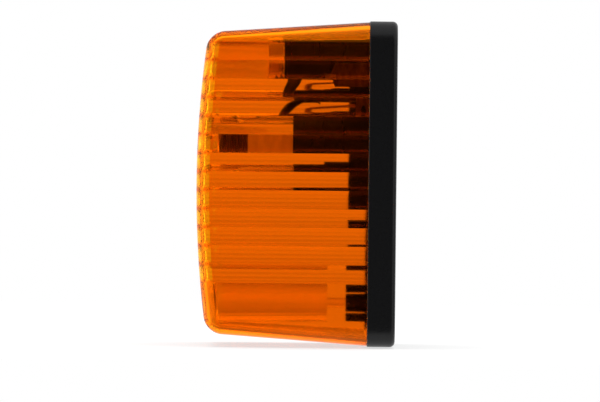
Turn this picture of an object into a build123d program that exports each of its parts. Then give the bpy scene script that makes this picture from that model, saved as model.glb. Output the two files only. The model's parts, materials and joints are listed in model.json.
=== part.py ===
from build123d import *
from math import radians, sqrt, tan
import os

# Vehicle indicator lamp, in millimetres: a black base, an amber fluted lens and a bayonet bulb inside.
# It is drawn as seen from the front: x to the side, y up and z as the depth forward of the rear face.
# The last step turns that into the lamp's own frame: +Z up, the lens facing -Y, the rear face on Y = 0.

# Overall outline
lamp_width = 80.0
lamp_height = 100.0
corner_radius = 7.0
base_depth = 8.6
lens_depth = 52.8

# Base housing
floor_thickness = 3.0
rim_width = 5.0
rear_edge_radius = 1.6
front_edge_radius = 0.4
rib_thickness = 1.6
rib_height = 3.2
cradle_width = 24.0
cradle_bottom = -10.1
cradle_top = 31.0
cradle_depth = 14.4
cradle_wall = 1.8
lead_notch_depth = 1.8
turret_diameter = 15.0
turret_depth = 22.0
post_draft = 1.2
post_gap = 0.2
fixing_spacing = 60.0
fixing_hole_diameter = 5.5
bush_wall = 1.25
bush_boss_wall = 1.8
bush_depth = 6.0

# Lens
lens_step = 0.3
lens_draft = 4.0
lens_wall = 2.0
lens_front_radius = 330.0
lens_edge_radius = 5.4
flute_count = 13
flute_pitch = 5.7
flute_drop = 6.6
flute_rise = 0.67
flute_root = 0.2

# Seal between the lens and the base
seal_inset = 1.0
seal_width = 1.4
seal_height = 2.0
seal_ridge_width = 0.9
seal_ridge_height = 0.6
seal_play = 0.05

# Lens fixings
fit_play = 0.1
top_screw_inset = 20.0
top_screw_drop = 12.25
top_post_diameter = 11.2
top_post_end = 34.7
top_screw_diameter = 4.8
top_screw_seat = 8.2
top_screw_length = 32.0
top_screw_point = 2.4
side_screw_inset = 16.0
side_screw_y = 13.4
side_post_diameter = 10.0
side_post_end = 31.8
side_boss_diameter = 8.4
side_screw_diameter = 5.0
side_screw_seat = 5.3
side_screw_length = 50.0
side_screw_point = 0.7
screw_head_diameter = 9.4
screw_head_height = 2.6
screw_head_edge = 1.1
cross_recess_width = 1.2
cross_recess_length = 4.6
cross_recess_depth = 1.5
head_clearance = 0.4
screw_seal_thickness = 0.8
blind_hole_room = 0.6
gusset_height = 14.0
gusset_reach = 5.0
bottom_peg_rise = 13.0
bottom_post_diameter = 5.6
bottom_post_end = 14.9
bottom_tab_width = 8.0
bottom_tab_thickness = 2.4
bottom_tab_gap = 0.45
bottom_boss_diameter = 12.0
bottom_boss_end = 20.7
peg_diameter = 3.0
peg_end = 6.0
peg_chamfer = 0.5

# Bayonet bulb holder
socket_y = 13.4
socket_play = 0.15
socket_wall = 0.6
socket_rear = 10.2
socket_front = 31.4
slot_width = 2.5
slot_depth = 8.6
slot_turn = 25.0
insulator_thickness = 2.0
contact_plate_diameter = 7.0
contact_plate_thickness = 0.8
contact_button_diameter = 3.4
contact_button_height = 0.8
contact_tail_diameter = 1.6
contact_tail_end = 5.6
spring_diameter = 5.4
spring_wire = 0.6
spring_turns = 2.5
earth_tab_width = 4.0
earth_tab_length = 6.6
earth_tab_thickness = 0.6
earth_tab_rear = 23.4
earth_tab_ear = 3.6

# Bulb
cap_diameter = 9.2
cap_wall = 0.4
cap_rear = 18.6
cap_front = 31.8
pin_diameter = 2.0
pin_height = 1.1
bulb_insulator_height = 1.3
bulb_insulator_plug = 1.4
bulb_contact_diameter = 3.2
bulb_contact_height = 0.7
glass_wall = 0.9
glass_rear = 30.4
glass_tip = 50.0
glass_pip_diameter = 1.8
glass_pip_height = 1.2
pinch_width = 7.0
pinch_thickness = 3.2
pinch_length = 9.4
filament_depth = 43.0
filament_length = 4.8
filament_diameter = 1.0
support_diameter = 0.5

# Terminals and leads
terminal_inset = 10.5
terminal_y = 32.7
blade_width = 6.3
blade_thickness = 0.8
blade_end = 20.2
blade_chamfer = 1.2
barrel_diameter = 3.4
barrel_length = 2.0
barrel_overlap = 1.5
tab_width = 4.8
tab_end = 12.6
tab_hole_diameter = 1.6
foot_width = 5.0
foot_gap = 4.1
rivet_diameter = 2.0
rivet_head_diameter = 3.6
rivet_head_height = 1.0
lead_diameter = 2.2
lead_notch_y = 23.0
lead_straight = 27.5
live_lead_bend = 3.4
live_lead_reach = 8.5
live_lead_loop = 27.0
live_lead_turn = -17.0
earth_lead_bend = 4.0
earth_lead_loop = ((-2.5, -9.55, 34.5), (-12.5, -12.15, 35.5))
earth_lead_near = (7.0, 21.5, 29.5)
earth_lead_return = 28.5

# Cable entry
grommet_bore = 5.6
grommet_wall = 2.4
grommet_flange_width = 2.2
grommet_flange_thickness = 1.4
grommet_nose = 3.5

# Values that follow from the sizes above
far = lamp_width + lamp_height
lens_width = lamp_width - 2 * lens_step
lens_height = lamp_height - 2 * lens_step
lens_front = base_depth + lens_depth
flute_top = lamp_height / 2 - flute_drop
flute_bottom = flute_top - flute_count * flute_pitch
seal_bottom = base_depth - seal_ridge_height - seal_height
screw_bore_diameter = screw_head_diameter + 2 * head_clearance
screw_root_diameter = screw_bore_diameter + 2 * rib_thickness
top_screw_x = lamp_width / 2 - top_screw_inset
top_screw_y = lamp_height / 2 - top_screw_drop
side_screw_x = lamp_width / 2 - side_screw_inset
top_screw_tip = top_screw_seat - screw_seal_thickness + top_screw_length
side_screw_tip = side_screw_seat - screw_seal_thickness + side_screw_length
top_places = ((-top_screw_x, top_screw_y), (top_screw_x, top_screw_y))
side_places = ((-side_screw_x, side_screw_y), (side_screw_x, side_screw_y))
bottom_peg_y = bottom_peg_rise - lamp_height / 2
bottom_tab_offset = (bottom_post_diameter + bottom_tab_thickness) / 2 + bottom_tab_gap
bottom_tab_top = bottom_peg_y + bottom_tab_offset + bottom_tab_thickness / 2
fixing_places = (-fixing_spacing / 2, fixing_spacing / 2)
bush_diameter = fixing_hole_diameter + 2 * bush_wall
socket_bore = cap_diameter + 2 * socket_play
socket_diameter = socket_bore + 2 * socket_wall
insulator_front = socket_rear + insulator_thickness
pin_depth = socket_front - slot_depth + slot_width / 2
bulb_contact_rear = cap_rear - bulb_insulator_height - bulb_contact_height
contact_plate_front = bulb_contact_rear - contact_button_height
contact_plate_rear = contact_plate_front - contact_plate_thickness
cap_bore = cap_diameter - 2 * cap_wall
glass_diameter = cap_bore - 2 * fit_play
glass_floor = glass_rear + glass_wall
earth_tab_bottom = socket_y + socket_diameter / 2 + seal_play
earth_tab_top = earth_tab_bottom + earth_tab_thickness
terminal_x = lamp_width / 2 - terminal_inset
foot_top = floor_thickness + blade_thickness
foot_height = blade_width + foot_gap + tab_width
foot_y = terminal_y + (blade_width - foot_height) / 2
rivet_y = terminal_y - (blade_width + foot_gap) / 2
tab_y = rivet_y - (foot_gap + tab_width) / 2
notch_floor = cradle_depth - lead_notch_depth
lead_entry = contact_tail_end + lead_diameter / 2 + fit_play
grommet_y = (cradle_bottom + bottom_tab_top) / 2
grommet_neck_diameter = grommet_bore + 2 * grommet_wall
grommet_flange_diameter = grommet_neck_diameter + 2 * grommet_flange_width


def rod(diameter, start, end, x=0.0, y=0.0):
    """A round bar along the depth, from one depth to another."""
    length = end - start
    return Pos(x, y, start + length / 2) * Cylinder(diameter / 2, length)


def cone(start_diameter, end_diameter, start, end, x=0.0, y=0.0):
    """A tapered round bar along the depth."""
    length = end - start
    return Pos(x, y, start + length / 2) * Cone(start_diameter / 2, end_diameter / 2, length)


def tube(diameter, bore, start, end, x=0.0, y=0.0):
    """A round bar with a bore right through it."""
    return rod(diameter, start, end, x, y) - rod(bore, start, end, x, y)


def bar(width, height, start, end, x=0.0, y=0.0):
    """A rectangular bar along the depth, centred on a place of the front view."""
    length = end - start
    return Pos(x, y, start + length / 2) * Box(width, height, length)


def rounded_slab(width, height, radius, start, end):
    """A plate with rounded corners between two depths."""
    return extrude(Plane.XY.offset(start) * RectangleRounded(width, height, radius), end - start)


def outline_slab(inset, start, end):
    """A plate that follows the lamp's outline at a distance inside it."""
    width = lamp_width - 2 * inset
    return rounded_slab(width, lamp_height - 2 * inset, corner_radius - inset, start, end)


def outline_ring(inset, width, start, end):
    """A ring that follows the lamp's outline at a distance inside it."""
    return outline_slab(inset, start, end) - outline_slab(inset + width, start, end)


def post(diameter, end, x, y):
    """A moulded post on the base's floor, with its given diameter at its free end and a drafted side."""
    root = diameter + 2 * (end - floor_thickness) * tan(radians(post_draft))
    return cone(root, diameter, floor_thickness, end, x, y)


def lens_boss(diameter, start, x, y):
    """A boss behind the lens's front wall, with its given diameter at its rear end and a drafted side."""
    root = diameter + (lens_front - start) * tan(radians(post_draft))
    return cone(diameter, root, start, lens_front, x, y)


def gusset(x, y, side):
    """A three-cornered rib between a post and the floor, on one side of the post."""
    with BuildSketch(Plane.XZ.offset(-y - rib_thickness / 2)) as web:
        with BuildLine():
            Polyline(
                (x, floor_thickness),
                (x + side * (screw_root_diameter / 2 + gusset_reach), floor_thickness),
                (x, floor_thickness + gusset_height + gusset_reach),
                close=True,
            )
        make_face()
    return extrude(web.sketch, rib_thickness)


def lens_form(inset):
    """The lens's drafted, crowned and rounded form, moved inward by an inset."""
    shrink = 2 * (lens_front - base_depth) * tan(radians(lens_draft))
    width = lens_width - 2 * inset
    height = lens_height - 2 * inset
    radius = corner_radius - lens_step - inset
    rear = Plane.XY.offset(base_depth) * RectangleRounded(width, height, radius)
    front = Plane.XY.offset(lens_front) * RectangleRounded(width - shrink, height - shrink, radius)
    block = loft([rear, front], ruled=True)
    crown_radius = lens_front_radius - inset
    crown = Pos(0, 0, lens_front - lens_front_radius) * Rot(0, 90, 0) * Cylinder(crown_radius, far)
    form = block & crown
    front_edges = form.faces().sort_by(Axis.Z)[-1].edges()
    return fillet(front_edges, lens_edge_radius - inset)


def flute_steps():
    """The lower end, the middle and the upper end of each flute, from the lowest flute up."""
    for index in range(flute_count):
        low = flute_bottom + index * flute_pitch
        yield low, low + flute_pitch / 2, low + flute_pitch


def side_flute_section(depth):
    """A front-view section of the space inside the lens, with the flutes along both side walls."""
    half_lens = lens_width / 2 - (depth - base_depth) * tan(radians(lens_draft))
    half = half_lens - lens_wall - flute_root
    with BuildSketch(Plane.XY.offset(depth)) as section:
        with BuildLine():
            Polyline((0, -far), (far, -far), (far, flute_bottom), (half, flute_bottom))
            for low, middle, high in flute_steps():
                ThreePointArc((half, low), (half - flute_rise, middle), (half, high))
            Polyline((half, flute_top), (far, flute_top), (far, far), (0, far))
            mirror(about=Plane.YZ)
        make_face()
    return section.sketch


def front_flute_space():
    """The space behind the lens's front wall, with the flutes across that wall."""
    crown_radius = lens_front_radius - lens_wall - flute_root
    crown_centre = lens_front - lens_front_radius

    def crown(y):
        return crown_centre + sqrt(crown_radius**2 - y**2)

    with BuildSketch(Plane.YZ) as section:
        with BuildLine():
            Polyline((flute_top, crown(flute_top)), (flute_top, far), (far, far), (far, -far))
            Polyline((far, -far), (-far, -far), (-far, far), (flute_bottom, far))
            Line((flute_bottom, far), (flute_bottom, crown(flute_bottom)))
            for low, middle, high in flute_steps():
                ThreePointArc((low, crown(low)), (middle, crown(middle) - flute_rise), (high, crown(high)))
        make_face()
    return extrude(section.sketch, far, both=True)


def lens():
    """The amber lens: fluted shell, seal ridge, screw bosses and locating peg in one moulding."""
    form = lens_form(0)
    side_space = loft([side_flute_section(base_depth), side_flute_section(lens_front)], ruled=True)
    body = form - (lens_form(lens_wall) & side_space & front_flute_space())
    ridge_inset = seal_inset + (seal_width - seal_ridge_width) / 2
    body += outline_ring(ridge_inset, seal_ridge_width, base_depth - seal_ridge_height, base_depth)
    body += lens_boss(bottom_boss_diameter, bottom_boss_end, 0, bottom_peg_y) & form
    for x, y in top_places:
        body += lens_boss(top_post_diameter, top_post_end + post_gap, x, y) & form
        body -= rod(top_screw_diameter + fit_play, 0, top_screw_tip + blind_hole_room, x, y)
    for x, y in side_places:
        body += lens_boss(side_boss_diameter, side_post_end + post_gap, x, y) & form
        body -= rod(side_screw_diameter + fit_play, 0, side_screw_tip + blind_hole_room, x, y)
    peg = rod(peg_diameter, peg_end, bottom_boss_end, 0, bottom_peg_y)
    return body + chamfer(peg.edges().group_by(Axis.Z)[0], peg_chamfer)


def cradle():
    """The walls round the bulb holder, notched where a lead crosses them."""
    height = cradle_top - cradle_bottom
    y = (cradle_top + cradle_bottom) / 2
    inner_height = height - 2 * cradle_wall
    walls = bar(cradle_width, height, floor_thickness, cradle_depth, 0, y)
    walls -= bar(cradle_width - 2 * cradle_wall, inner_height, floor_thickness, cradle_depth, 0, y)
    return walls - bar(far, lead_diameter + 2 * fit_play, notch_floor, cradle_depth, 0, lead_notch_y)


def base_housing():
    """The black base: a shallow tray with the posts, the bulb cradle and the turret moulded on its floor."""
    body = outline_slab(0, 0, base_depth)
    body = fillet(body.edges().group_by(Axis.Z)[0], rear_edge_radius)
    body = fillet(body.edges().group_by(Axis.Z)[-1], front_edge_radius)
    body -= outline_slab(rim_width, floor_thickness, base_depth)
    body -= outline_ring(seal_inset - seal_play, seal_width + 2 * seal_play, seal_bottom, base_depth)
    body += cradle()
    body += rod(turret_diameter, floor_thickness, turret_depth, 0, socket_y)
    for x, y in top_places:
        body += post(top_post_diameter, top_post_end, x, y)
        body += rod(screw_root_diameter, floor_thickness, top_screw_seat + rib_thickness, x, y)
        body += gusset(x, y, -x / top_screw_x)
    body += post(bottom_post_diameter, bottom_post_end, 0, bottom_peg_y)
    for y in (bottom_peg_y - bottom_tab_offset, bottom_peg_y + bottom_tab_offset):
        body += bar(bottom_tab_width, bottom_tab_thickness, floor_thickness, bottom_post_end, 0, y)
    for x, y in side_places:
        body += post(side_post_diameter, side_post_end, x, y)
        body += rod(screw_root_diameter, floor_thickness, side_screw_seat + rib_thickness, x, y)
    for x in fixing_places:
        body += rod(bush_diameter + 2 * bush_boss_wall, floor_thickness, bush_depth, x)
    rib_length = cradle_bottom + lamp_height / 2 - rim_width
    rib_end = floor_thickness + rib_height
    for side in (-1, 1):
        x = side * (cradle_width - rib_thickness) / 2
        body += bar(rib_thickness, rib_length, floor_thickness, rib_end, x, cradle_bottom - rib_length / 2)
    return bored_base(body)


def bored_base(body):
    """The base with its bores: screw holes, bulb turret, fixing bushes, peg hole, rivets and cable entry."""
    for x, y in top_places:
        body -= rod(top_screw_diameter + 2 * head_clearance, 0, lens_front, x, y)
        body -= rod(screw_bore_diameter, 0, top_screw_seat, x, y)
    for x, y in side_places:
        body -= rod(side_screw_diameter + 2 * head_clearance, 0, lens_front, x, y)
        body -= rod(screw_bore_diameter, 0, side_screw_seat, x, y)
    for x in fixing_places:
        body -= rod(bush_diameter + 2 * seal_play, 0, bush_depth, x)
    body -= rod(socket_diameter + 2 * seal_play, socket_rear, turret_depth, 0, socket_y)
    body -= rod(contact_plate_diameter, foot_top, socket_rear, 0, socket_y)
    lead_slot = lead_diameter + 2 * fit_play
    slot_y = socket_y + turret_diameter / 2
    body -= bar(lead_slot, turret_diameter, foot_top, lead_entry + lead_diameter, 0, slot_y)
    body -= rod(peg_diameter + 2 * fit_play, peg_end - blind_hole_room, bottom_post_end, 0, bottom_peg_y)
    body -= rod(grommet_neck_diameter + 2 * seal_play, 0, floor_thickness, 0, grommet_y)
    body -= rod(grommet_flange_diameter + 2 * seal_play, 0, grommet_flange_thickness, 0, grommet_y)
    for x in (-terminal_x, terminal_x):
        body -= rod(rivet_diameter + 2 * seal_play, 0, floor_thickness, x, rivet_y)
    return body


def lens_seal():
    """The rubber seal ring in the groove of the base's rim."""
    return outline_ring(seal_inset, seal_width, seal_bottom, seal_bottom + seal_height)


def screw(diameter, seat, tip, point, x, y):
    """A pan-head screw driven from the rear, with a cross recess and a tapered point."""
    under_head = seat - screw_seal_thickness
    head_rear = under_head - screw_head_height
    half_head = screw_head_diameter / 2
    with BuildSketch(Plane.XZ) as profile:
        with BuildLine():
            Polyline(
                (0, head_rear),
                (half_head - screw_head_edge, head_rear),
                (half_head, head_rear + screw_head_edge),
                (half_head, under_head),
                (diameter / 2, under_head),
                (diameter / 2, tip - point),
                (diameter / 2 - point / 2, tip),
                (0, tip),
                close=True,
            )
        make_face()
    body = revolve(profile.sketch, Axis.Z)
    recess_end = head_rear + cross_recess_depth
    body -= bar(cross_recess_width, cross_recess_length, head_rear, recess_end)
    body -= bar(cross_recess_length, cross_recess_width, head_rear, recess_end)
    return Pos(x, y, 0) * body


def top_lens_screws():
    """The two tapping screws that draw the lens's top bosses to their posts."""
    sizes = (top_screw_diameter, top_screw_seat, top_screw_tip, top_screw_point)
    return [screw(*sizes, x, y) for x, y in top_places]


def side_lens_screws():
    """The two long screws into the lens's side bosses."""
    sizes = (side_screw_diameter, side_screw_seat, side_screw_tip, side_screw_point)
    return [screw(*sizes, x, y) for x, y in side_places]


def screw_seals():
    """A flat rubber ring under each screw head."""
    places = [(top_screw_diameter, top_screw_seat, x, y) for x, y in top_places]
    places += [(side_screw_diameter, side_screw_seat, x, y) for x, y in side_places]
    seals = []
    for diameter, seat, x, y in places:
        bore = diameter + 2 * fit_play
        seals.append(tube(screw_head_diameter, bore, seat - screw_seal_thickness, seat, x, y))
    return seals


def fixing_bushes():
    """The two metal bushes that take the fixing bolts' load through the base."""
    return [tube(bush_diameter, fixing_hole_diameter, 0, bush_depth, x) for x in fixing_places]


def socket_shell():
    """The bayonet shell: a tube with two hooked slots in its front rim."""
    shell = tube(socket_diameter, socket_bore, socket_rear, socket_front)
    slot_rear = socket_front - slot_depth
    reach = socket_diameter / 2
    for side in (-1, 1):
        slot = bar(socket_diameter, slot_width, slot_rear, socket_front, side * reach)
        hook = bar(socket_diameter, slot_width, slot_rear, slot_rear + slot_width, side * reach)
        shell -= slot
        shell -= Rot(0, 0, slot_turn) * hook
    return Pos(0, socket_y, 0) * shell


def socket_insulator():
    """The insulating disc that closes the rear of the bayonet shell."""
    bore = contact_tail_diameter + 2 * fit_play
    return tube(socket_bore - 2 * seal_play, bore, socket_rear, insulator_front, 0, socket_y)


def socket_contact():
    """The sprung contact: a button on a plate with a tail that takes the live lead."""
    contact = rod(contact_plate_diameter, contact_plate_rear, contact_plate_front)
    contact += rod(contact_button_diameter, contact_plate_front, bulb_contact_rear)
    contact += rod(contact_tail_diameter, contact_tail_end, contact_plate_rear)
    return Pos(0, socket_y, 0) * contact


def socket_spring():
    """The coil spring that presses the contact on the bulb."""
    start = insulator_front + spring_wire / 2 + seal_play
    rise = contact_plate_rear - insulator_front - spring_wire - 2 * seal_play
    coil = Helix(pitch=rise / spring_turns, height=rise, radius=(spring_diameter - spring_wire) / 2)
    section = Plane(origin=coil @ 0, z_dir=coil % 0) * Circle(spring_wire / 2)
    return Pos(0, socket_y, start) * sweep(section, path=coil, is_frenet=True)


def socket_earth_tab():
    """The bent strip on the bayonet shell that takes the earth lead."""
    tab_y = (earth_tab_bottom + earth_tab_top) / 2
    strip = bar(
        earth_tab_width, earth_tab_thickness, earth_tab_rear, earth_tab_rear + earth_tab_length, 0, tab_y
    )
    ear_y = earth_tab_bottom + earth_tab_ear / 2
    return strip + bar(
        earth_tab_width, earth_tab_ear, earth_tab_rear, earth_tab_rear + earth_tab_thickness, 0, ear_y
    )


def bulb_cap():
    """The bulb's brass cap with its two bayonet pins, turned home in the hooked slots."""
    cap = tube(cap_diameter, cap_bore, cap_rear, cap_front)
    pin_length = pin_height + cap_wall
    for side in (-1, 1):
        middle = side * (cap_bore / 2 + pin_length / 2)
        pin = Pos(middle, 0, pin_depth) * Rot(0, 90, 0) * Cylinder(pin_diameter / 2, pin_length)
        cap += Rot(0, 0, slot_turn) * pin
    return Pos(0, socket_y, 0) * cap


def bulb_insulator():
    """The black glass that closes the cap and carries the bulb's contact."""
    plug = rod(cap_bore - 2 * seal_play, cap_rear, cap_rear + bulb_insulator_plug)
    start = cap_rear - bulb_insulator_height
    return Pos(0, socket_y, 0) * (plug + cone(2 * bulb_contact_diameter, cap_bore, start, cap_rear))


def bulb_contact():
    """The solder contact in the middle of the bulb's cap."""
    end = bulb_contact_rear + bulb_contact_height
    return rod(bulb_contact_diameter, bulb_contact_rear, end, 0, socket_y)


def glass_profile(inset, rear):
    """Half of a domed capsule's section, moved inward by an inset."""
    radius = glass_diameter / 2 - inset
    dome = glass_tip - glass_diameter / 2
    diagonal = radius * sqrt(2) / 2
    with BuildSketch(Plane.XZ) as profile:
        with BuildLine():
            Polyline((0, dome + radius), (0, rear), (radius, rear), (radius, dome))
            ThreePointArc((radius, dome), (diagonal, dome + diagonal), (0, dome + radius))
        make_face()
    return profile.sketch


def bulb_glass():
    """The bulb's glass: a domed capsule with its pinched foot and the pip at its tip."""
    capsule = revolve(glass_profile(0, glass_rear), Axis.Z)
    capsule -= revolve(glass_profile(glass_wall, glass_floor), Axis.Z)
    pip_rear = glass_tip - glass_wall / 2
    capsule += cone(2 * glass_pip_diameter, glass_pip_diameter, pip_rear, glass_tip + glass_pip_height)
    capsule += bar(pinch_width, pinch_thickness, glass_rear - pinch_length, glass_rear)
    return Pos(0, socket_y, 0) * capsule


def bulb_filament():
    """The filament's coil as its outer form, across the bulb."""
    coil = Rot(0, 90, 0) * Cylinder(filament_diameter / 2, filament_length)
    return Pos(0, socket_y, filament_depth) * coil


def bulb_supports():
    """The two wires that carry the filament."""
    reach = filament_length / 2 + support_diameter / 2 + seal_play
    end = filament_depth + filament_diameter / 2
    return [rod(support_diameter, glass_floor, end, side * reach, socket_y) for side in (-1, 1)]


def terminal(x):
    """A brass terminal: a foot on the floor, a blade with the lead's barrel and a free tab for the cable."""
    body = bar(foot_width, foot_height, floor_thickness, foot_top, x, foot_y)
    for y, width, end in ((terminal_y, blade_width, blade_end), (tab_y, tab_width, tab_end)):
        blade = bar(blade_thickness, width, foot_top, end, x, y)
        body += chamfer(blade.edges().group_by(Axis.Z)[-1].filter_by(Axis.X), blade_chamfer)
    barrel_end = blade_end + barrel_length
    body += rod(barrel_diameter, blade_end - barrel_overlap, barrel_end, x, terminal_y)
    body -= rod(lead_diameter + 2 * fit_play, blade_end, barrel_end, x, terminal_y)
    hole = Rot(0, 90, 0) * Cylinder(tab_hole_diameter / 2, foot_width)
    rivet_hole = rod(rivet_diameter + 2 * seal_play, floor_thickness, foot_top, x, rivet_y)
    return body - Pos(x, tab_y, tab_end - tab_width / 2) * hole - rivet_hole


def terminal_rivets():
    """The rivets that hold the terminals' feet on the base's floor."""
    rivets = []
    for x in (-terminal_x, terminal_x):
        head = rod(rivet_head_diameter, foot_top, foot_top + rivet_head_height, x, rivet_y)
        head = fillet(head.edges().group_by(Axis.Z)[-1], rivet_head_height / 2)
        rivets.append(head + rod(rivet_diameter, 0, foot_top, x, rivet_y))
    return rivets


def lead(points, bend):
    """An insulated lead along straight runs and round bends."""
    path = FilletPolyline(*points, radius=bend)
    start = Plane(origin=path @ 0, z_dir=path % 0)
    return sweep(start * Circle(lead_diameter / 2), path=path.edges())


def live_lead():
    """The lead from the live terminal over the cradle's notch to the socket's contact."""
    over = notch_floor + lead_diameter / 2 + fit_play
    end_y = socket_y + contact_tail_diameter / 2 + fit_play
    return lead(
        [
            (-terminal_x, terminal_y, blade_end + fit_play),
            (-terminal_x, terminal_y, lead_straight),
            (live_lead_reach - terminal_x, (top_screw_y + side_screw_y) / 2, live_lead_loop),
            (live_lead_turn, lead_notch_y, over),
            (0, lead_notch_y, over),
            (0, lead_notch_y, lead_entry),
            (0, end_y, lead_entry),
        ],
        live_lead_bend,
    )


def earth_lead():
    """The lead from the earth terminal in a loop to the tab on the bayonet shell."""
    end_y = earth_tab_top + lead_diameter / 2 + fit_play
    return lead(
        [
            (terminal_x, terminal_y, blade_end + fit_play),
            (terminal_x, terminal_y, lead_straight),
            *[(terminal_x + x, top_screw_y + y, depth) for x, y, depth in earth_lead_loop],
            earth_lead_near,
            (0, end_y, earth_lead_return),
            (0, end_y, earth_tab_rear + earth_tab_thickness),
        ],
        earth_lead_bend,
    )


def cable_grommet():
    """The rubber grommet that lines the cable entry, with a flange on each side of the floor."""
    flange_top = floor_thickness + grommet_flange_thickness
    nose_end = flange_top + grommet_nose
    body = rod(grommet_neck_diameter, 0, flange_top)
    body += rod(grommet_flange_diameter, 0, grommet_flange_thickness)
    body += rod(grommet_flange_diameter, floor_thickness, flange_top)
    body += cone(grommet_neck_diameter, grommet_bore + grommet_wall, flange_top, nose_end)
    return Pos(0, grommet_y, 0) * (body - rod(grommet_bore, 0, nose_end))


nodes = {
    "base_housing": base_housing(),
    "lens": lens(),
    "lens_seal": lens_seal(),
    "top_lens_screws": top_lens_screws(),
    "side_lens_screws": side_lens_screws(),
    "screw_seals": screw_seals(),
    "fixing_bushes": fixing_bushes(),
    "socket_shell": socket_shell(),
    "socket_insulator": socket_insulator(),
    "socket_contact": socket_contact(),
    "socket_spring": socket_spring(),
    "socket_earth_tab": socket_earth_tab(),
    "bulb_cap": bulb_cap(),
    "bulb_insulator": bulb_insulator(),
    "bulb_contact": bulb_contact(),
    "bulb_glass": bulb_glass(),
    "bulb_filament": bulb_filament(),
    "bulb_supports": bulb_supports(),
    "live_terminal": terminal(-terminal_x),
    "earth_terminal": terminal(terminal_x),
    "terminal_rivets": terminal_rivets(),
    "live_lead": live_lead(),
    "earth_lead": earth_lead(),
    "cable_grommet": cable_grommet(),
}

os.makedirs("parts", exist_ok=True)
for name, shape in nodes.items():
    solids = shape if isinstance(shape, list) else [shape]
    export_step(Rot(90, 0, 0) * Compound(children=solids), f"parts/{name}.step")
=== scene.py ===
import json
from math import cos, pi, radians, sin, sqrt, tan

import bmesh
import bpy
from mathutils import Matrix, Vector


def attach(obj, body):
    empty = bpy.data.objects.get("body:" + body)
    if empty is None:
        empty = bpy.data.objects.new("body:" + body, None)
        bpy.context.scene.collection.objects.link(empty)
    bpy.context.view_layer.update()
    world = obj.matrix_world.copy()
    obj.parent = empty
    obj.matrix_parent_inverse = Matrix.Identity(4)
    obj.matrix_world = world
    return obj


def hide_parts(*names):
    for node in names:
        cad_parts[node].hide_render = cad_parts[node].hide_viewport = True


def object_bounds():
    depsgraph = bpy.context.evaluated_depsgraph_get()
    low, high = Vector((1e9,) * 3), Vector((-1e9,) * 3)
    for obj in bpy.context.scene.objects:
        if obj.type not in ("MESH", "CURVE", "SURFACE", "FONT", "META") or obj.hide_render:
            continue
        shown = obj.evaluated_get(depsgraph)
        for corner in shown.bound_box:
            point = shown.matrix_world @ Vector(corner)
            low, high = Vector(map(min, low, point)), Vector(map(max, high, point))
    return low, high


# The view: camera square to the lamp's right side, far away, with the small roll of the photograph.
METRES_PER_PIXEL = 0.000307
IMAGE_WIDTH = 600
CAMERA_DISTANCE = 2.0
NEAR_PLANE_X = 0.034
CAMERA_Y = -0.0295
CAMERA_Z = -0.0054
CAMERA_ROLL = 0.6
CAMERA_REACH = 20
SENSOR_WIDTH = 36.0

# The lens, in millimetres as in the part: depth is forward of the lamp's rear face.
LENS_WIDTH = 79.4
LENS_HEIGHT = 99.4
LENS_REAR = 8.6
LENS_FRONT = 61.4
LENS_CORNER = 6.7
LENS_SMALLEST_CORNER = 0.3
LENS_DRAFT = tan(radians(4.0))
LENS_WALL = 2.0
LENS_CROWN = 330.0
LENS_EDGE = 5.4
RIDGE_OUTER = 0.95
RIDGE_INNER = 1.85
RIDGE_HEIGHT = 0.6
FLUTE_TOP = 43.4
FLUTE_COUNT = 13
FLUTE_PITCH = 5.7
FLUTE_RISE = 0.67
FLUTE_ROOT = 0.2
FLUTE_BOTTOM = FLUTE_TOP - FLUTE_COUNT * FLUTE_PITCH
FLUTE_RADIUS = (FLUTE_PITCH**2 / 4 + FLUTE_RISE**2) / (2 * FLUTE_RISE)

# The lens's mesh: rows across the flutes, and rings from its rear edge forward and round its front edge.
FLUTE_STEPS = 28
PLAIN_STEPS = 4
FRONT_COLUMNS = 28
EDGE_STEPS = 12
EDGE_PASSES = 4
WALL_STEPS = 5
WALL_RING_SPACING = 11.0
TOP_ROOM = 1.0
BELOW_FLUTES = 1e-4
MERGE_DISTANCE = 1e-7
ROUND_STEPS = 64
SMOOTH_ANGLE = radians(28)

# The lens's ambers, and where its skin takes the brighter ones: a painted glow on the front edge and the
# top, and painted bead highlights along the front edge's flutes.
AMBERS = ("amber_core", "amber_plastic", "amber_painted_glow", "amber_painted_beads")
CORE, SKIN, PAINTED_GLOW, PAINTED_BEADS = range(len(AMBERS))
FRONT_EDGE_PAINTED_FROM = WALL_STEPS + 2
BETWEEN_PAINTED_BEADS = (WALL_STEPS + 5, WALL_STEPS + 6)
FLUTED_ROWS = range(EDGE_STEPS, EDGE_STEPS + FLUTE_COUNT * FLUTE_STEPS)

# Screws in pairs, left and right, with the lens's bosses around their ends, and the peg below.
SIDES = (-1, 1)
TOP_PLACE = (20.0, 37.75)
SIDE_PLACE = (24.0, 13.4)
PEG_PLACE = (0, -37.0)
TOP_SCREW = {
    "diameter": 4.8, "under_head": 7.4, "tip": 39.4, "point": 2.4,
    "thread_from": 12.0, "pitch": 1.6, "thread_depth": 0.65,
}
SIDE_SCREW = {
    "diameter": 5.0, "under_head": 4.5, "tip": 54.5, "point": 0.7,
    "thread_from": 45.7, "pitch": 1.04, "thread_depth": 0.45,
}
CLOSING_RADIUS = 0.05
SCREW_HEAD = 9.4
SCREW_HEAD_HEIGHT = 2.6
DOME_WIDTH = 1.2
DOME_HEIGHT = 1.5
DOME_STEPS = 8
THREAD_ROWS = 12
THREAD_FLANK = 0.36
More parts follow.
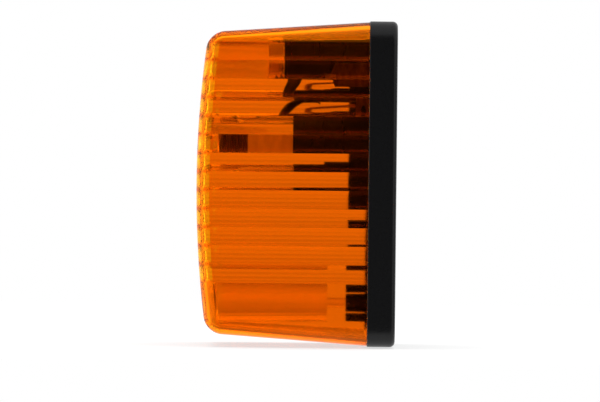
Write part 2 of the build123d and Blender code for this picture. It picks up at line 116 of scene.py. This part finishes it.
# The two ends of a cross recess: how far below the head's top, half its length and half its width.
RECESS_ENDS = ((-0.5, 2.5, 0.62), (1.6, 1.5, 0.45))
BOSS_DRAFT = tan(radians(1.2))
TOP_BOSS = {"diameter": 11.2, "start": 34.9}
SIDE_BOSS = {"diameter": 8.4, "start": 32.0}
BOTTOM_BOSS = {"diameter": 12.0, "start": 20.7}
HOLE_PLAY = 0.1
HOLE_LEAD = 4.0
HOLE_POINT_RADIUS = 0.2
HOLE_POINT_LENGTH = 0.5
PEG_RADIUS = 1.5
PEG_CHAMFER = 0.5
PEG_END = 6.0
PEG_ROOT = 24.0

# The filament: a coil across the bulb.
BULB_Z = 13.4
FILAMENT_DEPTH = 43.0
COIL_TURNS = 12
COIL_LENGTH = 4.8
COIL_RADIUS = 0.42
COIL_WIRE = 0.07
WIRE_SIDES = 8
TURN_STEPS = 24

# The studio: how bright its walls look, by the way that the light takes to them.
VIEW_LEVEL = 1.0
DIFFUSE_LEVEL = 0.7
ROOM_SIDE = (0.74, 0.66)
ROOM_LEVELS = (0.028, 0.6)
BEHIND_FROM = 0.965
BEHIND_LEVEL = 0.13
LED_HEIGHTS = (-0.5, 0.1)
LED_LEVELS = (0.9, 3.6)
MIRROR_SHARE = 0.22
LIT_LEVEL = 2.3
# The backdrop seen through the lens, by height: 0 straight down, 1 straight up.
BACKDROP = (
    (0.0, 0.4), (0.15, 0.8), (0.3, 1.2), (0.44, 1.1), (0.494, 1.1), (0.506, 0.97),
    (0.56, 0.94), (0.68, 0.8), (0.76, 0.9), (0.86, 2.0), (1.0, 2.0),
)
LAMP_PLACE = (-0.1, -0.05, 0.75)
LAMP_SIZE = 0.7
LAMP_POWER = 4.0
FLOOR_CENTRE = (-0.3, -0.03)
FLOOR_SIZE = (1.0, 1.6, 1)
FLOOR_GAP = 0.0005
FLOOR_SHADE = 0.4
FLOOR_GLOW = 0.64
BOUNCES = 96

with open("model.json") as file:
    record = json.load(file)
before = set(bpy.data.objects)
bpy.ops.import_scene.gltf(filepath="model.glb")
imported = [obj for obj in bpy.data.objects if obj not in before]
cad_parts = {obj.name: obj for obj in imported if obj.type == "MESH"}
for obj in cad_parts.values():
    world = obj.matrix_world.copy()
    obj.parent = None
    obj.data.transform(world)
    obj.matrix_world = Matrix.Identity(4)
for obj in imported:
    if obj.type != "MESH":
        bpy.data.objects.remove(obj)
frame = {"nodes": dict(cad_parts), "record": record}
cad_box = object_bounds()
nodes = frame["nodes"]


def spot(x, depth, z):
    """A place given in millimetres, as a vector in the lamp's frame."""
    return Vector((x, -depth, z)) / 1000


def both_sides(place):
    """A place and its mirror image: left, then right."""
    x, z = place
    return [(side * x, z) for side in SIDES]


def add_piece(name, mesh, finish, *stands_for):
    """A new piece of the lamp, in place of CAD nodes."""
    made = bpy.data.objects.new(name, mesh)
    bpy.context.scene.collection.objects.link(made)
    if not mesh.materials:
        mesh.materials.append(finishes[finish])
    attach(made, "root")
    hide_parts(*stands_for)
    return made


def smooth(mesh):
    """Smooth shading that keeps the moulded edges sharp."""
    mesh.shade_smooth()
    mesh.set_sharp_from_angle(angle=SMOOTH_ANGLE)


def mesh_from(name, points, faces, finish_of=None):
    """A mesh with its faces turned outward; finish_of, where given, numbers each face's material."""
    mesh = bpy.data.meshes.new(name)
    mesh.from_pydata(points, [], faces)
    if finish_of:
        mesh.polygons.foreach_set("material_index", finish_of)
    shape = bmesh.new()
    shape.from_mesh(mesh)
    bmesh.ops.remove_doubles(shape, verts=shape.verts, dist=MERGE_DISTANCE)
    bmesh.ops.recalc_face_normals(shape, faces=shape.faces)
    shape.to_mesh(mesh)
    shape.free()
    return mesh


def combine(mesh, operation, tools):
    """The mesh joined with, or cut by, each of the tools."""
    scene = bpy.context.scene
    body = bpy.data.objects.new("body", mesh)
    scene.collection.objects.link(body)
    helpers = []
    for tool in tools:
        helper = bpy.data.objects.new("tool", tool)
        scene.collection.objects.link(helper)
        helpers.append(helper)
        step = body.modifiers.new("step", "BOOLEAN")
        step.operation = operation
        step.solver = "EXACT"
        step.object = helper
    graph = bpy.context.evaluated_depsgraph_get()
    result = bpy.data.meshes.new_from_object(body.evaluated_get(graph))
    for helper in [*helpers, body]:
        bpy.data.objects.remove(helper)
    return result


def loop_faces(loops, size):
    """The faces between closed loops of points that follow each other, each loop with size points."""
    faces = []
    for loop in range(loops - 1):
        for step in range(size):
            a = loop * size + step
            b = loop * size + (step + 1) % size
            faces.append((a, b, b + size, a + size))
    return faces


def lathe(name, x, z, profile, groove=None):
    """A turned form about an axis along the depth: profile is a list of (radius, depth).

    groove, where given, says how deep the surface is cut at a depth and an angle, as a thread needs."""
    points = []
    for radius, depth in profile:
        for step in range(ROUND_STEPS):
            angle = 2 * pi * step / ROUND_STEPS
            at = radius - groove(depth, angle) if groove else radius
            points.append(spot(x + at * cos(angle), depth, z + at * sin(angle)))
    last = (len(profile) - 1) * ROUND_STEPS
    faces = loop_faces(len(profile), ROUND_STEPS)
    faces.append(tuple(range(ROUND_STEPS)))
    faces.append(tuple(range(last, last + ROUND_STEPS)))
    return mesh_from(name, points, faces)


def flute(z):
    """How far the fluting stands in from the plain inner wall at a height."""
    if not FLUTE_BOTTOM <= z <= FLUTE_TOP:
        return 0.0
    off = (z - FLUTE_BOTTOM) % FLUTE_PITCH - FLUTE_PITCH / 2
    return FLUTE_ROOT + FLUTE_RISE - FLUTE_RADIUS + sqrt(FLUTE_RADIUS**2 - off**2)


def crown(z, inset):
    """The depth of the crowned front at a height."""
    return LENS_FRONT - LENS_CROWN + sqrt((LENS_CROWN - inset) ** 2 - z**2)


def heights(top):
    """The heights of the mesh's rows, from an outline's top to its bottom, in step with the flutes."""
    fine = FLUTE_PITCH / FLUTE_STEPS
    upper = FLUTE_TOP - FLUTE_PITCH
    meet = min(FLUTE_TOP, top - TOP_ROOM)
    rows = [meet + (top - meet) * cos(pi / 2 * step / EDGE_STEPS) for step in range(EDGE_STEPS)]
    rows += [meet + (upper - meet) * step / FLUTE_STEPS for step in range(FLUTE_STEPS)]
    rows += [upper - fine * step for step in range((FLUTE_COUNT - 1) * FLUTE_STEPS + 1)]
    low = FLUTE_BOTTOM - BELOW_FLUTES
    rows += [low - (FLUTE_PITCH * step / PLAIN_STEPS) for step in range(PLAIN_STEPS)]
    last = rows[-1] - FLUTE_PITCH / PLAIN_STEPS
    rows += [last + (-top - last) * sin(pi / 2 * step / EDGE_STEPS) for step in range(EDGE_STEPS + 1)]
    return rows


def half_width(z, half, top, radius):
    """Half the width of a rounded outline at a height."""
    over = abs(z) - (top - radius)
    if over <= 0:
        return half
    return half - radius + sqrt(max(radius**2 - over**2, 0))


ROWS = len(heights(LENS_HEIGHT / 2))
LOOP = (
    [(0, column) for column in range(FRONT_COLUMNS)]
    + [(row, FRONT_COLUMNS) for row in range(ROWS - 1)]
    + [(ROWS - 1, column) for column in range(FRONT_COLUMNS, 0, -1)]
    + [(row, 0) for row in range(ROWS - 1, 0, -1)]
)


def outline_place(row, column, inset):
    """A place on the lens's rounded outline, moved inward: (x, z)."""
    top = LENS_HEIGHT / 2 - inset
    radius = max(LENS_CORNER - inset, LENS_SMALLEST_CORNER)
    z = heights(top)[row]
    half = half_width(z, LENS_WIDTH / 2 - inset, top, radius)
    return half * (2 * column / FRONT_COLUMNS - 1), z


def flat_ring(inset, depth):
    """The outline at one depth, moved inward."""
    return [(*outline_place(row, column, inset), depth) for row, column in LOOP]


def wall_ring(inset, depth):
    """The drafted wall's outline at one depth."""
    return flat_ring(inset + (depth - LENS_REAR) * LENS_DRAFT, depth)


def edge_place(row, column, inset, turn):
    """A place on the rounded edge between the wall and the front, turned from the wall to the front."""
    radius = LENS_EDGE - inset
    z = outline_place(row, column, inset)[1]
    for _ in range(EDGE_PASSES):
        middle = crown(z, inset) - radius
        shift = inset + (middle - LENS_REAR) * LENS_DRAFT + radius * (1 - cos(turn))
        x, z = outline_place(row, column, shift)
    return x, z, middle + radius * sin(turn)


def with_flutes(place):
    """A place of the inner form, moved in to the flutes where they stand proud of it."""
    x, z, depth = place
    side = LENS_WIDTH / 2 - LENS_WALL - (depth - LENS_REAR) * LENS_DRAFT - flute(z)
    return max(-side, min(side, x)), z, min(depth, crown(z, LENS_WALL) - flute(z))


def form_rings(inset):
    """The rings of the lens's form from its rear forward, up to the edge of the front."""
    rings = [wall_ring(inset, LENS_REAR + step * WALL_RING_SPACING) for step in range(WALL_STEPS)]
    for step in range(EDGE_STEPS + 1):
        turn = pi / 2 * step / EDGE_STEPS
        rings.append([edge_place(row, column, inset, turn) for row, column in LOOP])
    return rings


def ridge_rings():
    """The rings of the seal ridge on the lens's rear edge, from the inside out."""
    end = LENS_REAR - RIDGE_HEIGHT
    corners = ((RIDGE_INNER, LENS_REAR), (RIDGE_INNER, end), (RIDGE_OUTER, end), (RIDGE_OUTER, LENS_REAR))
    return [flat_ring(inset, depth) for inset, depth in corners]


def front_grid(ring, inset):
    """The rows and columns of the crowned front inside its edge ring."""
    spread = dict(zip(LOOP, ring))
    grid = {}
    for row in range(ROWS):
        right, z, _ = spread[(row, FRONT_COLUMNS)]
        for column in range(FRONT_COLUMNS + 1):
            x = right * (2 * column / FRONT_COLUMNS - 1)
            grid[(row, column)] = spread.get((row, column), (x, z, crown(z, inset)))
    return grid


def grid_faces(grid, start):
    """The faces of a front grid whose points are numbered from start."""
    number_of = {place: start + index for index, place in enumerate(grid)}
    faces = []
    for row in range(ROWS - 1):
        for column in range(FRONT_COLUMNS):
            corners = ((row, column), (row, column + 1), (row + 1, column + 1), (row + 1, column))
            faces.append(tuple(number_of[corner] for corner in corners))
    return faces


def skin_tint(ring, row):
    """The amber of a wall's face: rings below 0 are inside, and the front edge and the top rows take a
    brighter amber, a painted glow.

    Where the flutes meet the front edge, it has two lines of painted bead highlights with a deeper line
    between them."""
    if ring < 0:
        return CORE
    # The front edge takes painted bead highlights along the flutes and a painted glow elsewhere; the top
    # rows take the painted glow too.
    if ring >= FRONT_EDGE_PAINTED_FROM and row in FLUTED_ROWS:
        return SKIN if ring in BETWEEN_PAINTED_BEADS else PAINTED_BEADS
    return PAINTED_GLOW if ring >= FRONT_EDGE_PAINTED_FROM or row < EDGE_STEPS else SKIN


def lens_shell():
    """The lens without its bosses: inner front, fluted walls, seal ridge, outer walls and outer front."""
    inner = [[with_flutes(place) for place in ring] for ring in form_rings(LENS_WALL)]
    outer = form_rings(0)
    rings = [*inner[::-1], *ridge_rings(), *outer]
    points = [spot(x, depth, z) for ring in rings for x, z, depth in ring]
    faces = loop_faces(len(rings), len(LOOP))
    skin_from = len(rings) - len(outer)
    tints = [skin_tint(ring - skin_from, row) for ring in range(len(rings) - 1) for row, _ in LOOP]
    inner_front = front_grid(inner[-1], LENS_WALL)
    inner_front = {place: with_flutes(point) for place, point in inner_front.items()}
    for tint, grid in ((SKIN, front_grid(outer[-1], 0)), (CORE, inner_front)):
        front = grid_faces(grid, len(points))
        points += [spot(x, depth, z) for x, z, depth in grid.values()]
        faces += front
        tints += [tint] * len(front)
    mesh = mesh_from("lens_shell", points, faces, tints)
    for finish in AMBERS:
        mesh.materials.append(finishes[finish])
    return mesh


def boss(place, diameter, start):
    """A drafted boss that ends inside the lens's front wall."""
    x, z = place
    end = crown(z, LENS_WALL / 2)
    root = diameter + (LENS_FRONT - start) * BOSS_DRAFT
    return lathe("boss", x, z, [(diameter / 2, start), (root / 2, end)])


def screw_hole(place, screw, around):
    """The blind hole in a boss for the end of a screw, with a drilled point."""
    radius = (screw["diameter"] + HOLE_PLAY) / 2
    start = around["start"] - HOLE_LEAD
    end = screw["tip"] + HOLE_PLAY
    return lathe(
        "hole", *place, [(radius, start), (radius, end), (HOLE_POINT_RADIUS, end + HOLE_POINT_LENGTH)]
    )


def locating_peg():
    """The peg on the bottom boss that stands in the base's bottom post."""
    profile = [
        (PEG_RADIUS - PEG_CHAMFER, PEG_END),
        (PEG_RADIUS, PEG_END + PEG_CHAMFER),
        (PEG_RADIUS, PEG_ROOT),
    ]
    return lathe("peg", *PEG_PLACE, profile)


def lens_mesh():
    """The whole amber moulding."""
    bosses = [boss(place, **TOP_BOSS) for place in both_sides(TOP_PLACE)]
    bosses.append(boss(PEG_PLACE, **BOTTOM_BOSS))
    bosses += [boss(place, **SIDE_BOSS) for place in both_sides(SIDE_PLACE)]
    holes = [screw_hole(place, TOP_SCREW, TOP_BOSS) for place in both_sides(TOP_PLACE)]
    holes += [screw_hole(place, SIDE_SCREW, SIDE_BOSS) for place in both_sides(SIDE_PLACE)]
    whole = combine(lens_shell(), "UNION", [*bosses, locating_peg()])
    whole = combine(whole, "DIFFERENCE", holes)
    smooth(whole)
    return whole


def screw_profile(diameter, under_head, tip, point, thread_from, pitch):
    """A screw's outline before its thread is cut: domed head, shank, and close rows up to the point."""
    rear = under_head - SCREW_HEAD_HEIGHT
    profile = [(CLOSING_RADIUS, rear)]
    for step in range(1, DOME_STEPS + 1):
        turn = pi / 2 * step / DOME_STEPS
        radius = SCREW_HEAD / 2 - DOME_WIDTH * (1 - sin(turn))
        profile.append((radius, rear + DOME_HEIGHT * (1 - cos(turn))))
    profile += [(SCREW_HEAD / 2, under_head), (diameter / 2, under_head), (diameter / 2, thread_from)]
    count = int((tip - thread_from) / pitch * THREAD_ROWS)
    for step in range(1, count + 1):
        depth = thread_from + (tip - thread_from) * step / count
        taper = max(depth - (tip - point), 0)
        profile.append((diameter / 2 - taper / 2, depth))
    profile.append((CLOSING_RADIUS, tip))
    return profile


def cross_slot(x, z, rear, turn):
    """One arm of the cross recess, tapering inward."""
    points = []
    for below, half, side in RECESS_ENDS:
        for along, across in ((-half, -side), (half, -side), (half, side), (-half, side)):
            at_x = x + along * cos(turn) - across * sin(turn)
            at_z = z + along * sin(turn) + across * cos(turn)
            points.append(spot(at_x, rear + below, at_z))
    faces = [(0, 1, 2, 3), (4, 5, 6, 7), (0, 1, 5, 4), (1, 2, 6, 5), (2, 3, 7, 6), (3, 0, 4, 7)]
    return mesh_from("slot", points, faces)


def screw_mesh(x, z, diameter, under_head, tip, point, thread_from, pitch, thread_depth):
    """A pan-head screw with a cross recess and its thread cut as a helix. Below the head it takes a lighter
    copy of the zinc, painted light, and on the right-hand screws the thread takes a darker copy, painted
    shade.
    """

    def groove(depth, angle):
        """How deep the thread is cut at a place on the screw."""
        if depth <= thread_from or depth >= tip:
            return 0.0
        fade = min((depth - thread_from) / pitch, 1.0)
        place = (depth / pitch - angle / (2 * pi)) % 1.0
        ridge = max(0.0, 1 - abs(place - 0.5) / THREAD_FLANK)
        return thread_depth * fade * (1 - ridge)

    profile = screw_profile(diameter, under_head, tip, point, thread_from, pitch)
    slots = [cross_slot(x, z, under_head - SCREW_HEAD_HEIGHT, turn) for turn in (0, pi / 2)]
    body = combine(lathe("screw", x, z, profile, groove), "DIFFERENCE", slots)
    # Head in plain zinc; below the head a lighter zinc, painted light; the right-hand threads a darker
    # zinc, painted shade.
    for finish in ("zinc_plated_steel", "zinc_shank_painted_light", "zinc_thread_painted_shade"):
        body.materials.append(finishes[finish])
    for face in body.polygons:
        depth = -1000 * face.center.y
        face.material_index = (depth > under_head) + (x > 0 and depth > thread_from)
    smooth(body)
    return body


def joined(name, meshes):
    """Several meshes as one."""
    shape = bmesh.new()
    for mesh in meshes:
        shape.from_mesh(mesh)
    mesh = bpy.data.meshes.new(name)
    shape.to_mesh(mesh)
    shape.free()
    for finish in meshes[0].materials:
        mesh.materials.append(finish)
    smooth(mesh)
    return mesh


def screw_pair(name, place, screw):
    """The left and the right screw of a pair, as one mesh."""
    return joined(name, [screw_mesh(x, z, **screw) for x, z in both_sides(place)])


def coil_mesh():
    """The filament: a wire wound into a fine coil across the bulb."""
    points = []
    count = COIL_TURNS * TURN_STEPS
    for step in range(count + 1):
        angle = 2 * pi * step / TURN_STEPS
        along = COIL_LENGTH * (step / count - 0.5)
        for side in range(WIRE_SIDES):
            turn = 2 * pi * side / WIRE_SIDES
            reach = COIL_RADIUS + COIL_WIRE * cos(turn)
            depth = FILAMENT_DEPTH + reach * cos(angle)
            points.append(spot(along + COIL_WIRE * sin(turn), depth, BULB_Z + reach * sin(angle)))
    mesh = mesh_from("bulb_filament_coil", points, loop_faces(count + 1, WIRE_SIDES))
    smooth(mesh)
    return mesh


def map_range(tree, value, low, high, to_low=0.0, to_high=1.0, kind="LINEAR"):
    """A value carried over from one range to another."""
    node = tree.nodes.new("ShaderNodeMapRange")
    node.interpolation_type = kind
    limits = {"From Min": low, "From Max": high, "To Min": to_low, "To Max": to_high}
    for socket, limit in limits.items():
        node.inputs[socket].default_value = limit
    tree.links.new(value, node.inputs["Value"])
    return node.outputs["Result"]


def feed(tree, socket, value):
    """Sets a socket to a number, or links it to the output of another node."""
    if isinstance(value, float):
        socket.default_value = value
    else:
        tree.links.new(value, socket)


def number(tree, operation, first, second):
    """The result of a sum with two values."""
    node = tree.nodes.new("ShaderNodeMath")
    node.operation = operation
    feed(tree, node.inputs[0], first)
    feed(tree, node.inputs[1], second)
    return node.outputs[0]


def choose(tree, factor, off, on):
    """One of two values: the first where the factor is 0, the second where it is 1."""
    node = tree.nodes.new("ShaderNodeMix")
    feed(tree, node.inputs[0], factor)
    feed(tree, node.inputs[2], off)
    feed(tree, node.inputs[3], on)
    return node.outputs[0]


def axes_of(tree, coordinates):
    """The X, Y and Z of the place or direction that coordinates give, by name."""
    place = tree.nodes.new("ShaderNodeTexCoord")
    split = tree.nodes.new("ShaderNodeSeparateXYZ")
    tree.links.new(place.outputs[coordinates], split.inputs[0])
    return split.outputs


def material(name, **values):
    """A new node material with one shader, whose plain values are set on its own sockets."""
    made = bpy.data.materials.new(name)
    made.use_nodes = True
    shader = made.node_tree.nodes["Principled BSDF"]
    for socket, value in values.items():
        shader.inputs[socket.replace("_", " ")].default_value = value
    return made


def noise(made, scale, detail=4.0):
    """The level of a noise texture in the part's own coordinates."""
    tree = made.node_tree
    place = tree.nodes.new("ShaderNodeTexCoord")
    texture = tree.nodes.new("ShaderNodeTexNoise")
    texture.inputs["Scale"].default_value = scale
    texture.inputs["Detail"].default_value = detail
    tree.links.new(place.outputs["Object"], texture.inputs["Vector"])
    return texture.outputs["Fac"]


def add_bump(made, scale, distance, strength):
    """Fine relief on the surface, from noise."""
    tree = made.node_tree
    bump = tree.nodes.new("ShaderNodeBump")
    bump.inputs["Distance"].default_value = distance
    bump.inputs["Strength"].default_value = strength
    tree.links.new(noise(made, scale), bump.inputs["Height"])
    tree.links.new(bump.outputs["Normal"], tree.nodes["Principled BSDF"].inputs["Normal"])


def vary_roughness(made, scale, low, high):
    """Lets the roughness wander between two limits over the surface."""
    tree = made.node_tree
    level = map_range(tree, noise(made, scale), 0.3, 0.7, low, high)
    tree.links.new(level, tree.nodes["Principled BSDF"].inputs["Roughness"])


def blend_colours(made, factor, first, second):
    """Colours the surface between two colours by a factor that changes over it."""
    tree = made.node_tree
    blend = tree.nodes.new("ShaderNodeMix")
    blend.data_type = "RGBA"
    blend.inputs["A"].default_value = (*first, 1)
    blend.inputs["B"].default_value = (*second, 1)
    tree.links.new(factor, blend.inputs["Factor"])
    tree.links.new(blend.outputs["Result"], tree.nodes["Principled BSDF"].inputs["Base Color"])


def mottle(made, colour, scale, spread):
    """Lets the colour wander between a darker and a lighter shade of itself."""
    level = map_range(made.node_tree, noise(made, scale), 0.35, 0.65)
    darker = [value * (1 - spread) for value in colour]
    lighter = [min(value * (1 + spread), 1) for value in colour]
    blend_colours(made, level, darker, lighter)


def amber(name, colour, rough=0.0, clear=1.0):
    """Clear amber plastic: light takes on the colour as it goes through the surface."""
    made = material(
        name,
        Base_Color=(*colour, 1),
        Roughness=rough,
        IOR=1.49,
        Transmission_Weight=clear,
        Specular_Tint=(1.0, 0.45, 0.06, 1),
    )
    add_bump(made, 130, 0.00001, 0.3)
    return made


def amber_painted_beads(root, crest):
    """The amber of the front edge, with painted bead highlights along the flutes' crests."""
    made = amber("amber_painted_beads", crest, clear=0.9)
    tree = made.node_tree
    half_pitch = FLUTE_PITCH / 2000
    above = number(tree, "SUBTRACT", axes_of(tree, "Object")["Z"], FLUTE_BOTTOM / 1000)
    from_root = number(tree, "PINGPONG", above, half_pitch)
    blend_colours(made, map_range(tree, from_root, 0.0, half_pitch / 2, kind="SMOOTHSTEP"), root, crest)
    return made


def black_plastic():
    """Satin moulded plastic with a fine spark-eroded grain."""
    made = material(
        "black_plastic", Base_Color=(0.006, 0.006, 0.0065, 1), Roughness=0.3, Specular_IOR_Level=0.4
    )
    vary_roughness(made, 900, 0.26, 0.36)
    add_bump(made, 2500, 0.00002, 0.3)
    return made


def simple(name, colour, rough, metallic=0.0, spread=0.12, grain=0.000004):
    """A finish with its own shade and gloss, both uneven, and a fine grain."""
    made = material(name, Base_Color=(*colour, 1), Roughness=rough, Metallic=metallic)
    mottle(made, colour, 500, spread)
    vary_roughness(made, 1200, rough * 0.8, rough * 1.2)
    add_bump(made, 4000, grain, 0.5)
    return made


def clear_glass():
    """The bulb's thin glass, with the faint ripple of blown glass."""
    made = material(
        "clear_glass", Base_Color=(1, 1, 1, 1), Roughness=0.0, IOR=1.5, Transmission_Weight=1.0
    )
    add_bump(made, 250, 0.00001, 0.3)
    return made


finishes = {
    "black_plastic": black_plastic(),
    "amber_plastic": amber("amber_plastic", (0.82, 0.131, 0.0012)),
    "amber_core": amber("amber_core", (0.96, 0.83, 0.45), rough=0.1),
    # A brighter amber: painted glow on the lens's front edge and top.
    "amber_painted_glow": amber("amber_painted_glow", (0.98, 0.22, 0.0012), clear=0.9),
    # Painted bead highlights along the front edge's flutes, deeper amber at their roots.
    "amber_painted_beads": amber_painted_beads((0.95, 0.12, 0.0012), (1.0, 0.45, 0.005)),
    "black_rubber": simple("black_rubber", (0.02, 0.02, 0.02), 0.7, grain=0.00002),
    "zinc_plated_steel": simple("zinc_plated_steel", (0.62, 0.62, 0.63), 0.35, 1.0),
    # Lighter and darker copies of the zinc: painted light on the screws' shanks, painted shade on the
    # right-hand threads.
    "zinc_shank_painted_light": simple("zinc_shank_painted_light", (0.92, 0.92, 0.92), 0.5, 0.15),
    "zinc_thread_painted_shade": simple("zinc_thread_painted_shade", (0.22, 0.22, 0.22), 0.5, 1.0, spread=0.3),
    "nickel_plated_steel": simple("nickel_plated_steel", (0.66, 0.63, 0.58), 0.25, 1.0),
    "black_passivated_steel": simple("black_passivated_steel", (0.03, 0.03, 0.03), 0.4, 1.0),
    # Dark brown brass: partly its tarnish, partly painted shade.
    "brass": simple("brass", (0.2, 0.12, 0.045), 0.4, 1.0, spread=0.35),
    "brown_phenolic": simple("brown_phenolic", (0.12, 0.05, 0.02), 0.5, spread=0.3),
    "black_glass": simple("black_glass", (0.01, 0.01, 0.012), 0.1),
    "clear_glass": clear_glass(),
    "solder": simple("solder", (0.5, 0.5, 0.5), 0.45, 1.0),
    "tungsten": simple("tungsten", (0.35, 0.35, 0.36), 0.4, 1.0),
    "brown_insulation": simple("brown_insulation", (0.34, 0.14, 0.05), 0.45),
    "black_insulation": simple("black_insulation", (0.015, 0.015, 0.015), 0.45),
}


def paint_nodes():
    """Each CAD node takes the finish of its slot in the record."""
    for part in frame["record"]["subparts"]:
        shown = nodes[part["node"]].data.materials
        shown.clear()
        shown.append(finishes[part["material_slot"]])


def backdrop_level(tree, z):
    """The brightness of the backdrop, by the height that a ray leaves towards."""
    ramp = tree.nodes.new("ShaderNodeValToRGB")
    steps = ramp.color_ramp.elements
    for place, _ in BACKDROP[1:-1]:
        steps.new(place)
    for step, (place, level) in zip(steps, BACKDROP):
        step.position = place
        step.color = (level, level, level, 1)
    tree.links.new(map_range(tree, z, -1.0, 1.0), ramp.inputs["Fac"])
    return ramp.outputs["Color"]


def past(tree, bounces, count):
    """1 for light with more than a count of such bounces, else 0."""
    return number(tree, "GREATER_THAN", bounces, count + 0.5)


def level_inside(tree, path, z, room):
    """What light meets that comes through the lens.

    Unmirrored, it meets the backdrop. Mirrored once, it meets the room from inside the lens's wall, and
    a dim backdrop from behind it. Led along by more mirrorings, it meets the bright upper studio, and off
    the inner parts, an even light."""
    backdrop = backdrop_level(tree, z)
    led_level = map_range(tree, z, *LED_HEIGHTS, *LED_LEVELS)
    from_wall = number(tree, "MULTIPLY", room, led_level)
    from_behind = number(tree, "MULTIPLY", backdrop, MIRROR_SHARE)
    once = choose(tree, past(tree, path["Transmission Depth"], 2), from_wall, from_behind)
    mirrored = choose(tree, past(tree, path["Glossy Depth"], 1), once, led_level)
    clear = choose(tree, past(tree, path["Glossy Depth"], 0), backdrop, mirrored)
    return choose(tree, past(tree, path["Diffuse Depth"], 0), clear, LIT_LEVEL)


def world_light():
    """A white studio for the camera, with a dark side towards it for what the lamp's surfaces mirror."""
    world = bpy.data.worlds.new("studio")
    bpy.context.scene.world = world
    world.use_nodes = True
    world.cycles.sampling_method = "NONE"
    tree = world.node_tree
    path = tree.nodes.new("ShaderNodeLightPath").outputs
    direction = axes_of(tree, "Generated")
    room = map_range(tree, direction["X"], *ROOM_SIDE, *ROOM_LEVELS)
    behind = number(tree, "GREATER_THAN", direction["Y"], BEHIND_FROM)
    around = choose(tree, behind, room, BEHIND_LEVEL)
    outside = choose(tree, path["Is Diffuse Ray"], around, DIFFUSE_LEVEL)
    inside = level_inside(tree, path, direction["Z"], room)
    unseen = choose(tree, past(tree, path["Transmission Depth"], 0), outside, inside)
    level = choose(tree, path["Is Camera Ray"], unseen, VIEW_LEVEL)
    background = tree.nodes["Background"]
    tree.links.new(level, background.inputs["Strength"])
    background.inputs["Color"].default_value = (1, 1, 1, 1)


def top_light():
    """One large soft lamp above, which isn't seen in or through the lens."""
    data = bpy.data.lights.new("top_light", "AREA")
    data.size = LAMP_SIZE
    data.energy = LAMP_POWER
    made = bpy.data.objects.new("top_light", data)
    made.location = LAMP_PLACE
    made.visible_glossy = False
    made.visible_transmission = False
    bpy.context.scene.collection.objects.link(made)


def camera():
    """The photograph's side view."""
    data = bpy.data.cameras.new("camera")
    data.sensor_width = SENSOR_WIDTH
    distance = CAMERA_DISTANCE - NEAR_PLANE_X
    data.lens = SENSOR_WIDTH * distance / (METRES_PER_PIXEL * IMAGE_WIDTH)
    data.clip_end = CAMERA_REACH
    made = bpy.data.objects.new("camera", data)
    bpy.context.scene.collection.objects.link(made)
    turn = Matrix.Rotation(pi / 2, 4, "Z") @ Matrix.Rotation(pi / 2, 4, "X")
    roll = Matrix.Rotation(radians(CAMERA_ROLL), 4, "Z")
    made.matrix_world = Matrix.Translation((CAMERA_DISTANCE, CAMERA_Y, CAMERA_Z)) @ turn @ roll
    bpy.context.scene.camera = made


def floor():
    """A plain pale floor, white to the camera where no shadow lies, and not seen in or through the lens."""
    bpy.ops.mesh.primitive_plane_add(size=1, location=(*FLOOR_CENTRE, cad_box[0][2] - FLOOR_GAP))
    made = bpy.context.object
    made.name = "floor"
    made.scale = FLOOR_SIZE
    made.visible_glossy = False
    made.visible_transmission = False
    surface = material(
        "floor",
        Base_Color=(FLOOR_SHADE, FLOOR_SHADE, FLOOR_SHADE, 1),
        Roughness=0.9,
        Specular_IOR_Level=0.0,
        Emission_Color=(1, 1, 1, 1),
        Emission_Strength=FLOOR_GLOW,
    )
    made.data.materials.append(surface)


def bounce_limits():
    """Enough bounces for light that is led along inside the lens's walls."""
    cycles = bpy.context.scene.cycles
    cycles.max_bounces = BOUNCES
    cycles.glossy_bounces = BOUNCES
    cycles.transmission_bounces = BOUNCES


paint_nodes()
add_piece("lens_moulding", lens_mesh(), "amber_plastic", "lens")
top_screws = screw_pair("top_screws", TOP_PLACE, TOP_SCREW)
add_piece("top_screws", top_screws, "zinc_plated_steel", "top_lens_screws")
side_screws = screw_pair("side_screws", SIDE_PLACE, SIDE_SCREW)
add_piece("side_screws", side_screws, "zinc_plated_steel", "side_lens_screws")
add_piece("bulb_filament_coil", coil_mesh(), "tungsten", "bulb_filament")
world_light()
top_light()
camera()
floor()
bounce_limits()
bpy.context.scene.view_settings.view_transform = "Standard"
